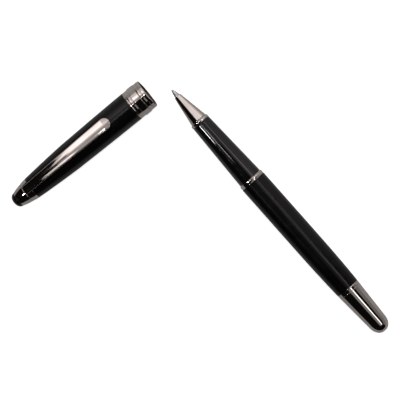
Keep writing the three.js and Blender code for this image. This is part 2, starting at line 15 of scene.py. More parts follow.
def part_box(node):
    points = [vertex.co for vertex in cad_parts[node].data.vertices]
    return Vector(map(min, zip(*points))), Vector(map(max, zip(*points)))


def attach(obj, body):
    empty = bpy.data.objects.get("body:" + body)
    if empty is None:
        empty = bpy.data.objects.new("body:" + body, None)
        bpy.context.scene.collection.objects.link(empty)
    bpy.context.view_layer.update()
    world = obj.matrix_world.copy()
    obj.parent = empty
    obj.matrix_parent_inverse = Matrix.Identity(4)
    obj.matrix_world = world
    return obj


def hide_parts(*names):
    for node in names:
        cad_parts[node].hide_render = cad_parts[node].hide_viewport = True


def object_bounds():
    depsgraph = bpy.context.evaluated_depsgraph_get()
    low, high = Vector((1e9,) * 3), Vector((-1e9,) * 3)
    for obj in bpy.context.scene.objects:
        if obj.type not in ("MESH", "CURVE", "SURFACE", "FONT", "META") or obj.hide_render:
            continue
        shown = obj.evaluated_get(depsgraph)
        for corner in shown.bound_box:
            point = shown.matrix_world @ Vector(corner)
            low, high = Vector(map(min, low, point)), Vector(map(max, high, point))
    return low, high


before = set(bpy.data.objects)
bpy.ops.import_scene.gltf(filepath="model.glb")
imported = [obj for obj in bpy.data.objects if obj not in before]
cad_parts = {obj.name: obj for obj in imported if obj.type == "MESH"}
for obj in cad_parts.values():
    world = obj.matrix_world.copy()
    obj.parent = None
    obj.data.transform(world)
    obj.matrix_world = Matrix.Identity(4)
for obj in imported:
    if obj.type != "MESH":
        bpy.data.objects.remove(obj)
cad_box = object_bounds()

MM = 0.001
STEPS = 144  # round a turned piece
ON_AXIS = 1e-6  # a smaller radius than this is on the axis


# ---------- places ----------
def middle(node):
    low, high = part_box(node)
    return (low + high) / 2


def pen_place():
    """The pen's own frame: Y runs back from the writing point."""
    ball = middle("writing_ball")
    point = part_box("writing_ball")[0].x
    turn = Matrix(((0, 1, 0), (-1, 0, 0), (0, 0, 1)))
    return Matrix.Translation((point, ball.y, ball.z)) @ turn.to_4x4()


def cap_place(band_middle):
    """The cap's own frame: Y runs from its mouth to its crown, and X is level."""
    band = middle("cap_center_band")
    along = (middle("crown_nut") - band).normalized()
    across = along.cross(Vector((0, 0, 1))).normalized()
    up = across.cross(along)
    turn = Matrix((across, along, up)).transposed()
    return Matrix.Translation(band - along * (band_middle * MM)) @ turn.to_4x4()


# ---------- the pen's stations and radii, in millimetres ----------
NOSE_START = 3.35
NOSE_END = 15.7
FRONT_RING_END = 17.0
SECTION_END = 45.8
BARREL_RING = (45.85, 47.38)
BARREL_START = 47.41
BARREL_END = 102.41
BARREL_TAPER = 22.4
TAIL_RING_END = 104.01
PEN_END = 124.41
TAIL_ROUND = 5.4
TAIL_FULLNESS = 2 / 2.25  # the power that swells the tail's rounded end
CUP_END = PEN_END - 6.1
CUP_SEAT = CUP_END - 2.2
CUP_PIN = 2.7
SPRING_LENGTH = 5.4
REFILL_END = CUP_END - 2.3 - SPRING_LENGTH
FLOAT_ROOM = 0.55  # left between plug and spring, as the refill moves back by 0.5
SLEEVE = (BARREL_END - 7, TAIL_RING_END + 6)
REFILL_SHOULDER = 19.2
HOLDER_START = 9.5
FLANGE = 0.45  # thickness of the holder's flange
HOLDER_PLUG_END = REFILL_SHOULDER + FLANGE + 4.5
COUNTERBORE = 1.4  # depth of the section's wider bore at its back end
THREAD = (SECTION_END + 1.4, SECTION_END + 6.6)
PITCH = 0.75
THREAD_DEPTH = 0.22
THREAD_FADE = 0.5
BUSH_DEPTH = 0.2
BUSH_PAST_THREAD = 1.2
HOLDER_RIBS = 4
RIB_STEP = 1.1
RIB_DEPTH = 0.12
PLUG_FLANGE = 0.6
PLUG_LENGTH = 4
FOLLOWER_LENGTH = 5
FOLLOWER_SAG = 0.25

BALL_R = 0.35
BALL_GAP = 0.02  # between the ball and its socket
INK_CHANNEL_R = 0.12
TIP_R = 1.15
TIP_INSERT = 3  # of the tip inside the holder
HOLDER_R = 1.9
REFILL_R = 3.0
REFILL_BORE = 2.6
CORE_BORE = 3.1
CORE_R = 3.4
SPIGOT_R = 2.75
NOSE_R = 3.5
FRONT_RING_R = 3.96
SECTION_R = (3.86, 4.95)
THREAD_R = 3.97
BUSH_BORE = 4.07
BUSH_R = 4.55
BARREL_BORE = 4.58
BARREL_R = 5.38
BARREL_END_R = 4.95
SLEEVE_R = 3.97
TAIL_BORE = 3.35
TAIL_R = 4.84
TAIL_SHOULDER_R = 3.96
WIRE_R = 0.24
COIL_R = 2.2
COIL_TURNS = 5
FIT = 0.03  # between pieces that are joined
RUN = 0.1  # between pieces that move in each other

# ---------- the cap's, measured from its mouth ----------
MOUTH_BORE = 5.12
LINER_R = 5.62
LINER_START = 0.3
LINER_FLARE = 0.9  # length of the flared entrance
LINER_WALL = 0.5
BAND_BORE = 5.65
BAND_R = 6.15
CENTER_BAND_R = 6.36
CAP_R = 6.2
LIP_END = 1.3
RING_2_END = 2.75
CENTER_END = 5.7
RING_3_END = 7.2
CAP_START = 7.95
LINER_END = 51.0
CAP_END = 58.2
CAP_R_END = 4.62
CAP_WALL = 0.5
FRONT_BULGE = 0.02  # of the tube's front stretch over a straight line
CAP_FLOOR = 1.1
BAND_BORE_END = 22.1  # where the tube's bore starts to narrow
WAIST = (26.3, 38.3)
ROUND_LENGTH = 19.9
REST_SLOPE = 0.0175
GRIP = (27.1, 34.1)
GRIP_TAPER = 7
GRIP_R = 4.06
POINT_R = 3.4
COLLAR = (58.23, 60.88)
COLLAR_R_BACK = 4.2
SHELL = (60.91, 65.31)
CROWN_R_BACK = 3.13
CROWN_SPIGOT_R = 2.63
CROWN_FLOOR = 0.7
CAP_TOP = 67.54
STUD_R = 1.4
NUT = (54.8, 57.07)
NUT_FLATS = 2.338  # from the nut's axis to a flat
NUT_CORNERS = 2.69
CLIP = (17.58, 60.78)
CLIP_WIDTHS = (4.9, 3.4)
CLIP_THICKNESS = 0.95
CLIP_ROLL = math.radians(8.5)
CLIP_CROWN = 0.17  # height of the crowned back above its edges
CLIP_EDGE = 0.46  # width of the rolled edge
CLIP_EDGE_DROP = 0.47
CLIP_EDGE_RISE = 0.30
CLIP_UNDER_ROUND = 0.2
CLIP_NOSE = 2.6  # length of the finely divided tip
CLIP_FOOT = (1.2, 0.45)  # half width and half length of the foot in the collar
BOSS_AT = 3
BOSS_R = 0.9
BOSS_TAPER = 0.22
BOSS_ROUND = 0.2

PEN = pen_place()
CAP = cap_place((RING_2_END + FIT + CENTER_END) / 2)
CLIP_AT = CAP @ Matrix.Rotation(CLIP_ROLL, 4, "Y")


# ---------- procedural finishes ----------
class Finish:
    """A node material written top down: each call adds one node and gives its first output."""

    def __init__(self, name):
        self.material = bpy.data.materials.new(name)
        self.material.use_nodes = True
        self.tree = self.material.node_tree
        self.tree.nodes.clear()
        self.place = self.add("TexCoord", out="Object")
        self.turned = self.add("UVMap", {"uv_map": "Turned"})

    def add(self, kind, settings=None, out=0, **inputs):
        node = self.tree.nodes.new("ShaderNode" + kind)
        for key, value in (settings or {}).items():
            setattr(node, key, value)
        for key, value in inputs.items():
            numbered = key[0] == "i" and key[1:].isdigit()
            socket = node.inputs[int(key[1:]) if numbered else key.replace("_", " ")]
            if isinstance(value, bpy.types.NodeSocket):
                self.tree.links.new(value, socket)
            else:
                socket.default_value = value
        return node.outputs[out]

    def stretched(self, scale, turn=(0, 0, 0), source=None):
        return self.add("Mapping", Vector=source or self.place, Scale=scale, Rotation=turn)

    def noise(self, scale, detail=2.0, rough=0.5, source=None, distortion=0.0):
        return self.add(
            "TexNoise",
            Vector=source or self.place,
            Scale=scale,
            Detail=detail,
            Roughness=rough,
            Distortion=distortion,
        )

    def span(self, value, low, high, to_low, to_high):
        return self.add(
            "MapRange",
            {"interpolation_type": "SMOOTHSTEP"},
            Value=value,
            From_Min=low,
            From_Max=high,
            To_Min=to_low,
            To_Max=to_high,
        )

    def sum(self, a, b, operation="ADD"):
        return self.add("Math", {"operation": operation}, i0=a, i1=b)

    def tones(self, value, *stops):
        """A colour ramp through (position, colour) stops."""
        node = self.tree.nodes.new("ShaderNodeValToRGB")
        ramp = node.color_ramp
        while len(ramp.elements) < len(stops):
            ramp.elements.new(0.5)
        for element, (position, colour) in zip(ramp.elements, stops):
            element.position = position
            element.color = (*colour, 1)
        self.tree.links.new(value, node.inputs[0])
        return node.outputs[0]

    def bump(self, height, distance, normal=None, strength=1.0):
        node = self.tree.nodes.new("ShaderNodeBump")
        node.inputs["Strength"].default_value = strength
        node.inputs["Distance"].default_value = distance
        self.tree.links.new(height, node.inputs["Height"])
        if normal is not None:
            self.tree.links.new(normal, node.inputs["Normal"])
        return node.outputs[0]

    def hairlines(self, turn, density=0.7):
        """Long thin scratches in one direction, from 0 to 1."""
        lines = self.noise(1.0, 1.0, 0.4, self.stretched((5200, 190, 5200), turn))
        broken = self.noise(420, 2.0)
        line = self.span(lines, density, density + 0.05, 0, 1)
        return self.sum(line, self.span(broken, 0.5, 0.62, 0, 1), "MULTIPLY")

    def turning_marks(self, per_mm):
        """Faint rings left by the lathe or the polishing wheel, uneven in depth."""
        parts = self.add("SeparateXYZ", out="Y", Vector=self.turned)
        wobble = self.sum(self.noise(130, 1.0), 0.6, "MULTIPLY")
        phase = self.sum(self.sum(parts, per_mm * 2 * math.pi, "MULTIPLY"), wobble)
        rings = self.sum(self.sum(phase, 0.0, "SINE"), 0.5, "MULTIPLY")
        return self.sum(rings, self.noise(300, 2.0), "MULTIPLY")

    def done(self, **inputs):
        shader = self.tree.nodes.new("ShaderNodeBsdfPrincipled")
        for key, value in inputs.items():
            socket = shader.inputs[key.replace("_", " ")]
            if isinstance(value, bpy.types.NodeSocket):
                self.tree.links.new(value, socket)
            else:
                socket.default_value = value
        output = self.tree.nodes.new("ShaderNodeOutputMaterial")
        self.tree.links.new(shader.outputs[0], output.inputs[0])
        return self.material


def polished_metal():
    """Warm grey plating, mirror polished, with a hand-worn haze and hairlines."""
    f = Finish("polished_metal")
    haze = f.noise(240, 5.0, 0.6, distortion=0.5)
    tone = f.tones(
        f.noise(95, 3.0), (0.35, (0.455, 0.420, 0.395)), (0.65, (0.525, 0.485, 0.460))
    )
    lines = f.sum(f.hairlines((0.3, 0.1, 0.6)), f.hairlines((1.2, 0.7, 2.3), 0.72))
    rough = f.sum(f.span(haze, 0.35, 0.75, 0.035, 0.085), f.sum(lines, 0.12, "MULTIPLY"))
    normal = f.bump(f.noise(300, 2.0, 0.45), 6.0e-6)
    normal = f.bump(f.turning_marks(7.0), 2.5e-7, normal)
    normal = f.bump(lines, -1.0e-6, normal)
    return f.done(Base_Color=tone, Metallic=1.0, Roughness=rough, Normal=normal)


def satin_black():
    """Black lacquer with a satin sheen: fine grain, faint rub marks and a few specks of dust."""
    f = Finish("satin_black")
    rub = f.noise(150, 4.0, 0.6, distortion=0.8)
    specks = f.add("TexVoronoi", {"feature": "F1"}, Vector=f.place, Scale=650.0)
    dust = f.span(specks, 0.035, 0.075, 1, 0)
    base = f.tones(rub, (0.3, (0.0022, 0.0020, 0.0022)), (0.7, (0.0040, 0.0036, 0.0038)))
    half_dust = f.sum(dust, 0.5, "MULTIPLY")
    dust_tone = (0.06, 0.058, 0.055, 1)
    colour = f.add("Mix", {"data_type": "RGBA"}, out=2, i0=half_dust, i6=base, i7=dust_tone)
    lines = f.hairlines((0.2, 0.9, 0.4), 0.72)
    rough = f.sum(f.span(rub, 0.3, 0.75, 0.19, 0.25), f.sum(lines, -0.08, "MULTIPLY"))
    rough = f.sum(rough, f.sum(dust, 0.3, "MULTIPLY"))
    normal = f.bump(f.noise(5200, 2.0), 1.0e-6)
    normal = f.bump(f.noise(600, 2.0), 1.2e-6, normal)
    normal = f.bump(dust, 4.0e-6, normal)
    return f.done(
        Base_Color=colour,
        Roughness=rough,
        Normal=normal,
        Specular_IOR_Level=0.22,
        IOR=1.5,
    )


def gloss_black():
    """Clear-polished black resin with a trace of orange peel and handling marks."""
    f = Finish("gloss_black")
    smear = f.noise(210, 5.0, 0.6, distortion=1.2)
    colour = f.tones(smear, (0.3, (0.0040, 0.0038, 0.0042)), (0.8, (0.0075, 0.0070, 0.0074)))
    lines = f.sum(f.hairlines((0.4, 0.2, 0.9)), f.hairlines((0.9, 1.3, 0.2), 0.72))
    rough = f.sum(f.span(smear, 0.4, 0.75, 0.03, 0.08), f.sum(lines, 0.15, "MULTIPLY"))
    normal = f.bump(f.noise(520, 2.0), 1.3e-6)
    normal = f.bump(lines, -6.0e-7, normal)
    return f.done(
        Base_Color=colour,
        Roughness=rough,
        Normal=normal,
        IOR=1.5,
        Specular_IOR_Level=0.3,
        Coat_Weight=0.15,
        Coat_Roughness=0.03,
    )


def brass():
    """Turned brass, unplated, a little tarnished."""
    f = Finish("brass")
    tarnish = f.noise(380, 5.0, 0.65, distortion=0.4)
    colour = f.tones(
        tarnish,
        (0.30, (0.36, 0.235, 0.085)),
        (0.52, (0.60, 0.430, 0.175)),
        (0.75, (0.68, 0.510, 0.230)),
    )
    rough = f.span(tarnish, 0.3, 0.7, 0.38, 0.22)
    normal = f.bump(f.turning_marks(9.0), 1.2e-6)
    normal = f.bump(f.noise(2600, 2.0), 1.0e-6, normal)
    return f.done(Base_Color=colour, Metallic=1.0, Roughness=rough, Normal=normal)


def steel():
    """Drawn and turned stainless steel."""
    f = Finish("steel")
    drawn = f.noise(1.0, 3.0, 0.6, f.stretched((60, 4200, 4200)))
    cloud = f.noise(260, 4.0)
    colour = f.tones(cloud, (0.3, (0.46, 0.455, 0.45)), (0.7, (0.58, 0.575, 0.57)))
    rough = f.sum(f.span(cloud, 0.3, 0.7, 0.20, 0.30), f.span(drawn, 0.3, 0.7, -0.03, 0.05))
    normal = f.bump(drawn, 9.0e-7)
    normal = f.bump(f.turning_marks(8.0), 4.0e-7, normal)
    return f.done(Base_Color=colour, Metallic=1.0, Roughness=rough, Normal=normal)


def dark_plastic():
    """Moulded dark plastic with a fine spark-eroded texture and flow marks."""
    f = Finish("dark_plastic")
    flow = f.noise(1.0, 3.0, 0.5, f.stretched((900, 160, 900)))
    colour = f.tones(flow, (0.3, (0.009, 0.009, 0.010)), (0.7, (0.016, 0.016, 0.017)))
    rough = f.span(flow, 0.3, 0.7, 0.42, 0.56)
    normal = f.bump(f.noise(7000, 3.0, 0.6), 2.5e-6)
    normal = f.bump(flow, 3.0e-6, normal)
    return f.done(Base_Color=colour, Roughness=rough, Normal=normal)


def grease():
    """The follower's cloudy gel."""
    f = Finish("grease")
    cloud = f.noise(700, 4.0, 0.6, distortion=0.7)
    colour = f.tones(cloud, (0.3, (0.50, 0.47, 0.33)), (0.7, (0.68, 0.65, 0.50)))
    rough = f.span(cloud, 0.3, 0.7, 0.18, 0.34)
    normal = f.bump(f.noise(1500, 2.0), 8.0e-6)
    return f.done(
        Base_Color=colour,
        Roughness=rough,
        Normal=normal,
        Subsurface_Weight=0.3,
        Subsurface_Scale=0.001,
    )


FLOOR_GLOW = 0.85


def pale_floor():
    """A white table that glows for the camera only, so it stays darker in reflections."""
    f = Finish("pale_floor")
    colour = f.tones(f.noise(6, 2.0), (0.3, (0.78, 0.78, 0.78)), (0.7, (0.80, 0.80, 0.80)))
    glow = f.sum(f.add("LightPath", out="Is Camera Ray"), FLOOR_GLOW, "MULTIPLY")
    white = (1, 1, 1, 1)
    return f.done(Base_Color=colour, Roughness=0.9, Emission_Color=white, Emission_Strength=glow)


FINISHES = {
    "polished_metal": polished_metal(),
    "satin_black": satin_black(),
    "gloss_black": gloss_black(),
    "brass": brass(),
    "steel": steel(),
    "dark_plastic": dark_plastic(),
    "grease": grease(),
}


# ---------- meshes ----------
SHARP_ANGLE = math.radians(32)
EASED_ANGLE = math.radians(14)  # a corner that bends less than this stays
EASED_SHARE = 0.42  # of a side that one corner may take


def stands_for(piece, node, body, slot):
    """Finish a piece and let it take its CAD node's place on that body."""
    piece.data.materials.append(FINISHES[slot])
    smooth = piece.modifiers.new("Even normals", "WEIGHTED_NORMAL")
    smooth.keep_sharp = True
    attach(piece, body)
    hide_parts(node)
    return piece


def mesh_piece(name, points, faces, maps, place):
    """An object at the origin, its mesh in the row frame, from millimetre points in a place."""
    mesh = bpy.data.meshes.new(name)
    mesh.from_pydata([place @ (Vector(p) * MM) for p in points], [], faces)
    layer = mesh.uv_layers.new(name="Turned")
    flat = [value for uv in maps for value in uv]
    layer.data.foreach_set("uv", flat)
    work = bmesh.new()
    work.from_mesh(mesh)
    bmesh.ops.recalc_face_normals(work, faces=work.faces)
    work.to_mesh(mesh)
    work.free()
    mesh.shade_smooth()
    mesh.set_sharp_from_angle(angle=SHARP_ANGLE)
    piece = bpy.data.objects.new(name, mesh)
    bpy.context.scene.collection.objects.link(piece)
    return piece


def eased(outline, size, parts=5):
    """A closed outline with its corners rounded off over a distance, but not on the axis."""
    made = []
    count = len(outline)
    for i, (along, radius) in enumerate(outline):
        here = Vector((along, radius))
        before = Vector(outline[i - 1]) - here
        after = Vector(outline[(i + 1) % count]) - here
        if min(radius, before.length, after.length) < ON_AXIS:
            made.append((along, radius))
            continue
        bend = math.pi - before.angle(after)
        if bend < EASED_ANGLE:
            made.append((along, radius))
            continue
        reach = min(size, EASED_SHARE * before.length, EASED_SHARE * after.length)
        start = here + before.normalized() * reach
        end = here + after.normalized() * reach
        for k in range(parts + 1):
            t = k / parts
            point = start * (1 - t) ** 2 + here * (2 * t * (1 - t)) + end * t**2
            made.append((point.x, point.y))
    return made


def sweep(outline, steps=STEPS, shaped=None):
    """Points, faces and map of a closed (along, radius) outline swept round Y.

    shaped, if given, returns the radius at a station and angle.
    """
    points, rows, faces, maps = [], [], [], []
    for along, radius in outline:
        first = len(points)
        if radius < ON_AXIS:
            points.append((0, along, 0))
            rows.append([first] * steps)
            continue
        for k in range(steps):
            angle = 2 * math.pi * k / steps
            r = shaped(along, radius, angle) if shaped else radius
            points.append((r * math.sin(angle), along, r * math.cos(angle)))
        rows.append(list(range(first, first + steps)))
    count = len(outline)
    for i in range(count):
        j = (i + 1) % count
        on_axis = outline[i][1] < ON_AXIS, outline[j][1] < ON_AXIS
        if all(on_axis):
            continue
        a_along, b_along = outline[i][0], outline[j][0]
        for k in range(steps):
            n = (k + 1) % steps
            u0, u1 = k / steps, (k + 1) / steps
            if on_axis[0]:
                faces.append((rows[i][k], rows[j][n], rows[j][k]))
                maps += [(u0, a_along), (u1, b_along), (u0, b_along)]
            elif on_axis[1]:
                faces.append((rows[i][k], rows[i][n], rows[j][k]))
                maps += [(u0, a_along), (u1, a_along), (u0, b_along)]
            else:
                faces.append((rows[i][k], rows[i][n], rows[j][n], rows[j][k]))
                maps += [(u0, a_along), (u1, a_along), (u1, b_along), (u0, b_along)]
    return points, faces, maps


def turned(node, outline, place, body, slot, ease=0.06, steps=STEPS, shaped=None):
    """A turned piece that stands for the CAD node of that name."""
    shape = sweep(eased(outline, ease), steps, shaped)
    return stands_for(mesh_piece("look_" + node, *shape, place), node, body, slot)


def curve(count, point):
    """Points on a curve by its share of the way, both ends in."""
    return [point(i / count) for i in range(count + 1)]


def ring(start, end, outer, inner):
    return [(start, inner), (start, outer), (end, outer), (end, inner)]


# ---------- the refill ----------
def writing_ball():
    def arc(s):
        angle = s * math.pi
        return BALL_R - BALL_R * math.cos(angle), BALL_R * math.sin(angle)

    outline = curve(24, arc)
    outline[0] = (0, 0)
    outline[-1] = (2 * BALL_R, 0)
    turned("writing_ball", outline, PEN, "writing_ball", "steel", ease=0, steps=48)


def refill():
    socket = BALL_R + BALL_GAP
    start = math.pi - math.asin((BALL_R - 0.05) / socket)
    end = math.asin(INK_CHANNEL_R / socket)

    def hollow(s):
        angle = end + (start - end) * s
        return BALL_R + socket * math.cos(angle), socket * math.sin(angle)

    cup = curve(10, hollow)
    tip = [
        (cup[-1][0], BALL_R + 0.04),
        (0.75, 0.56),
        (0.82, 0.60),
        (NOSE_START - 0.15, TIP_R),
        (HOLDER_START - FIT, TIP_R),
        (HOLDER_START - FIT, TIP_R - 0.3),
        (HOLDER_START + TIP_INSERT, TIP_R - 0.3),
        (HOLDER_START + TIP_INSERT, INK_CHANNEL_R),
    ]
    turned("refill_tip", tip + cup, PEN, "refill", "steel", ease=0.05, steps=96)
    flange = REFILL_SHOULDER + FLANGE
    ribs = []
    for k in range(HOLDER_RIBS):
        at = HOLDER_START + 1.2 + k * RIB_STEP
        low = HOLDER_R - RIB_DEPTH
        ribs += [(at, HOLDER_R), (at + 0.1, low), (at + 0.3, low), (at + 0.4, HOLDER_R)]
    holder = [
        (HOLDER_START, TIP_R - 0.27),
        (HOLDER_START, HOLDER_R - 0.2),
        (HOLDER_START + 0.4, HOLDER_R),
        *ribs,
        (REFILL_SHOULDER, HOLDER_R),
        (REFILL_SHOULDER, REFILL_R),
        (flange, REFILL_R),
        (flange, REFILL_BORE - FIT),
        (HOLDER_PLUG_END, REFILL_BORE - FIT),
        (HOLDER_PLUG_END, 0.5),
        (HOLDER_START + TIP_INSERT + FIT, 0.5),
        (HOLDER_START + TIP_INSERT + FIT, TIP_R - 0.27),
    ]
    turned("refill_front", holder, PEN, "refill", "dark_plastic", ease=0.08, steps=96)
    flange_at = REFILL_END - PLUG_FLANGE
    tube = ring(flange + FIT, flange_at - FIT, REFILL_R, REFILL_BORE)
    turned("refill_tube", tube, PEN, "refill", "steel", ease=0.05)
    plug = [
        (flange_at - PLUG_LENGTH, 0),
        (flange_at - PLUG_LENGTH, REFILL_BORE - FIT),
        (flange_at, REFILL_BORE - FIT),
        (flange_at, REFILL_R),
        (REFILL_END, REFILL_R - 0.15),
        (REFILL_END, 0.9),
        (REFILL_END - 0.5, 0.7),
        (REFILL_END - 0.5, 0),
    ]
    turned("refill_plug", plug, PEN, "refill", "dark_plastic", ease=0.12, steps=96)
    gel = HOLDER_PLUG_END + 0.5
    sag = FOLLOWER_SAG
    gel_end = gel + FOLLOWER_LENGTH
    follower = [
        (gel + sag, 0),
        (gel + sag * 0.7, 1.4),
        (gel, REFILL_BORE - 0.05),
        (gel_end, REFILL_BORE - 0.05),
        (gel_end - sag * 0.7, 1.4),
        (gel_end - sag, 0),
    ]
    turned("ink_follower", follower, PEN, "ink_follower", "grease", ease=0.3, steps=72)


# ---------- the section ----------
def helix(depth, sense=1):
    """A radius that falls by depth and comes back once in each pitch, round a right-hand screw."""

    def at(along, radius, angle):
        phase = (along / PITCH + sense * angle / (2 * math.pi)) % 1
        crest = min(1.0, max(0.0, 2.6 * abs(2 * phase - 1) - 0.8))
        return radius - depth * crest

    return at


def section():
    cone = [
        (NOSE_START, TIP_R + RUN),
        (NOSE_START, 1.45),
        (NOSE_END - 0.35, NOSE_R - 0.06),
        (NOSE_END - FIT, NOSE_R),
        (NOSE_END - FIT, SPIGOT_R),
        (REFILL_SHOULDER - RUN, SPIGOT_R),
        (REFILL_SHOULDER - RUN, HOLDER_R + RUN),
        (HOLDER_START - RUN, HOLDER_R + RUN),
        (HOLDER_START - 2, TIP_R + RUN),
    ]
    turned("nose_cone", cone, PEN, "section", "polished_metal", ease=0.14)
    front = [
        (NOSE_END, SPIGOT_R + FIT),
        (NOSE_END, NOSE_R + 0.08),
        (NOSE_END + 0.4, FRONT_RING_R),
        (FRONT_RING_END, FRONT_RING_R),
        (FRONT_RING_END, SPIGOT_R + FIT),
    ]
    turned("front_ring", front, PEN, "section", "polished_metal", ease=0.18)
    start = FRONT_RING_END + FIT
    rise = SECTION_R[1] - SECTION_R[0]
    length = SECTION_END - start
    flare = curve(36, lambda s: (start + length * s, SECTION_R[0] + rise * s**0.97))
    grip = [
        (start, CORE_R + FIT),
        *flare,
        (SECTION_END, THREAD_R + FIT),
        (SECTION_END - COUNTERBORE, THREAD_R + FIT),
        (SECTION_END - COUNTERBORE, CORE_R + FIT),
    ]
    turned("section_grip", grip, PEN, "section", "gloss_black", ease=0.12)
    rows = 84
    length = THREAD[1] - THREAD[0]
    screw = curve(rows, lambda s: (THREAD[0] + length * s, THREAD_R))
    core = [
        (start, SPIGOT_R + FIT),
        (start, CORE_R),
        (SECTION_END - COUNTERBORE + FIT, CORE_R),
        (SECTION_END - COUNTERBORE + FIT, THREAD_R),
        (SECTION_END, THREAD_R),
        (SECTION_END + 0.3, THREAD_R - THREAD_DEPTH),
        (THREAD[0] - 0.25, THREAD_R - THREAD_DEPTH),
        *screw,
        (THREAD[1], CORE_BORE),
        (REFILL_SHOULDER - RUN / 2, CORE_BORE),
        (REFILL_SHOULDER - RUN / 2, SPIGOT_R + FIT),
    ]
    groove = helix(THREAD_DEPTH)

    def threaded(along, radius, angle):
        slack = 1e-6  # for rounding at the thread's two ends
        on_thread = THREAD[0] - slack <= along <= THREAD[1] + slack
        if radius < THREAD_R - 0.1 or not on_thread:
            return radius
        fade = min(1.0, (along - THREAD[0]) / THREAD_FADE, (THREAD[1] - along) / THREAD_FADE)
        cut = groove(along, radius, angle)
        low = THREAD_R - THREAD_DEPTH
        return low + (cut - low) * max(0.0, fade)

    turned("section_core", core, PEN, "section", "brass", ease=0.04, shaped=threaded)


# ---------- the barrel ----------
def barrel():
    outer = BARREL_R - 0.08
    start, end = BARREL_RING

    def bulged(s):
        along = start + 0.1 + (end - start - 0.2) * s
        return along, outer - 0.05 + 0.05 * math.sin(math.pi * s)

    band = [
        (start, BUSH_BORE),
        (start, outer - 0.02),
        *curve(10, bulged),
        (end, outer - 0.02),
        (end, BUSH_BORE),
    ]
    turned("barrel_ring", band, PEN, "barrel", "polished_metal", ease=0.12)
    bush_end = THREAD[1] + BUSH_PAST_THREAD
    length = bush_end - BARREL_START - 0.8
    bore = curve(76, lambda s: (bush_end - 0.4 - length * s, BUSH_BORE))
    bush = [
        (BARREL_START, BUSH_BORE),
        (BARREL_START, BUSH_R),
        (bush_end, BUSH_R),
        (bush_end, BUSH_BORE),
        *bore,
    ]
    groove = helix(-BUSH_DEPTH)

    def threaded(along, radius, angle):
        inside = BARREL_START + 0.39 < along < bush_end - 0.39
        return groove(along, radius, angle) if inside and radius < BUSH_R - 0.1 else radius

    turned("barrel_bush", bush, PEN, "barrel", "brass", ease=0.05, shaped=threaded)
    taper_start = BARREL_END - BARREL_TAPER
    fall = BARREL_R - BARREL_END_R
    taper = curve(28, lambda s: (taper_start + BARREL_TAPER * s, BARREL_R - fall * s**2))
    tube = [
        (BARREL_START, BARREL_BORE),
        (BARREL_START, BARREL_R),
        *taper,
        (BARREL_END, SLEEVE_R + FIT),
        (SLEEVE[0] - FIT, SLEEVE_R + FIT),
        (SLEEVE[0] - 3, BARREL_BORE),
    ]
    turned("barrel_tube", tube, PEN, "barrel", "satin_black", ease=0.1)
    sleeve = ring(*SLEEVE, SLEEVE_R, TAIL_BORE)
    turned("tail_sleeve", sleeve, PEN, "barrel", "brass", ease=0.08)
    tail_ring = ring(BARREL_END + FIT, TAIL_RING_END - FIT, TAIL_R + FIT, SLEEVE_R + FIT)
    turned("tail_ring", tail_ring, PEN, "barrel", "polished_metal", ease=0.13)
    shoulder = PEN_END - TAIL_ROUND
    length, fall = shoulder - TAIL_RING_END, TAIL_R - TAIL_SHOULDER_R
    cone = curve(24, lambda s: (TAIL_RING_END + length * s, TAIL_R - fall * s))

    def rounding(s):
        angle = s * math.pi / 2
        along = shoulder + TAIL_ROUND * math.sin(angle) ** TAIL_FULLNESS
        return along, TAIL_SHOULDER_R * max(math.cos(angle), 0) ** TAIL_FULLNESS

    tail = [
        (CUP_END + FIT, 0),
        (CUP_END + FIT, TAIL_BORE),
        (SLEEVE[1] + FIT, TAIL_BORE),
        (SLEEVE[1] + FIT, SLEEVE_R + FIT),
        (TAIL_RING_END, SLEEVE_R + FIT),
        *cone,
        *curve(40, rounding)[1:-1],
        (PEN_END, 0),
    ]
    turned("tail_cone", tail, PEN, "barrel", "polished_metal", ease=0.13)


def tail_spring():
    pin_r = COIL_R - WIRE_R - RUN
    pin_end = CUP_SEAT - CUP_PIN
    cup = [
        (pin_end, 0),
        (pin_end, pin_r - 0.3),
        (pin_end + 0.35, pin_r - 0.12),
        (CUP_SEAT, pin_r),
        (CUP_SEAT, TAIL_BORE - RUN),
        (CUP_END, TAIL_BORE - RUN),
        (CUP_END, 0),
    ]
    turned("spring_cup", cup, PEN, "spring_cup", "dark_plastic", ease=0.1, steps=96)
    sides, per_turn = 14, 48
    steps = COIL_TURNS * per_turn
    begin = REFILL_END + FLOAT_ROOM + WIRE_R
    run = SPRING_LENGTH - FLOAT_ROOM - 2 * WIRE_R - RUN
    points, faces, maps = [], [], []
    for i in range(steps + 1):
        share = i / steps
        angle = share * COIL_TURNS * 2 * math.pi
        out = Vector((math.cos(angle), 0, math.sin(angle)))
        centre = out * COIL_R + Vector((0, begin + run * share, 0))
        thin = 1 - 0.25 * max(0.0, 1 - 24 * min(share, 1 - share))  # the wire's ground ends
        for k in range(sides):
            turn = 2 * math.pi * k / sides
            offset = out * math.cos(turn) + Vector((0, math.sin(turn), 0))
            points.append(centre + offset * WIRE_R * thin)
    for i in range(steps):
        for k in range(sides):
            a, b = i * sides + k, i * sides + (k + 1) % sides
            faces.append((a, b, b + sides, a + sides))
            u0, u1, v0, v1 = k / sides, (k + 1) / sides, i / per_turn, (i + 1) / per_turn
            maps += [(u0, v0), (u1, v0), (u1, v1), (u0, v1)]
    for base in (0, steps * sides):
        faces.append(tuple(range(base, base + sides)))
        maps += [(k / sides, base / per_turn) for k in range(sides)]
    piece = mesh_piece("look_refill_spring", points, faces, maps, PEN)
    stands_for(piece, "refill_spring", "refill_spring", "steel")


# ---------- the cap ----------
def rest_line(along):
    """The straight line that the cap rests on, as a radius from its axis."""
    return CENTER_BAND_R - REST_SLOPE * (along - CENTER_END + 0.15)


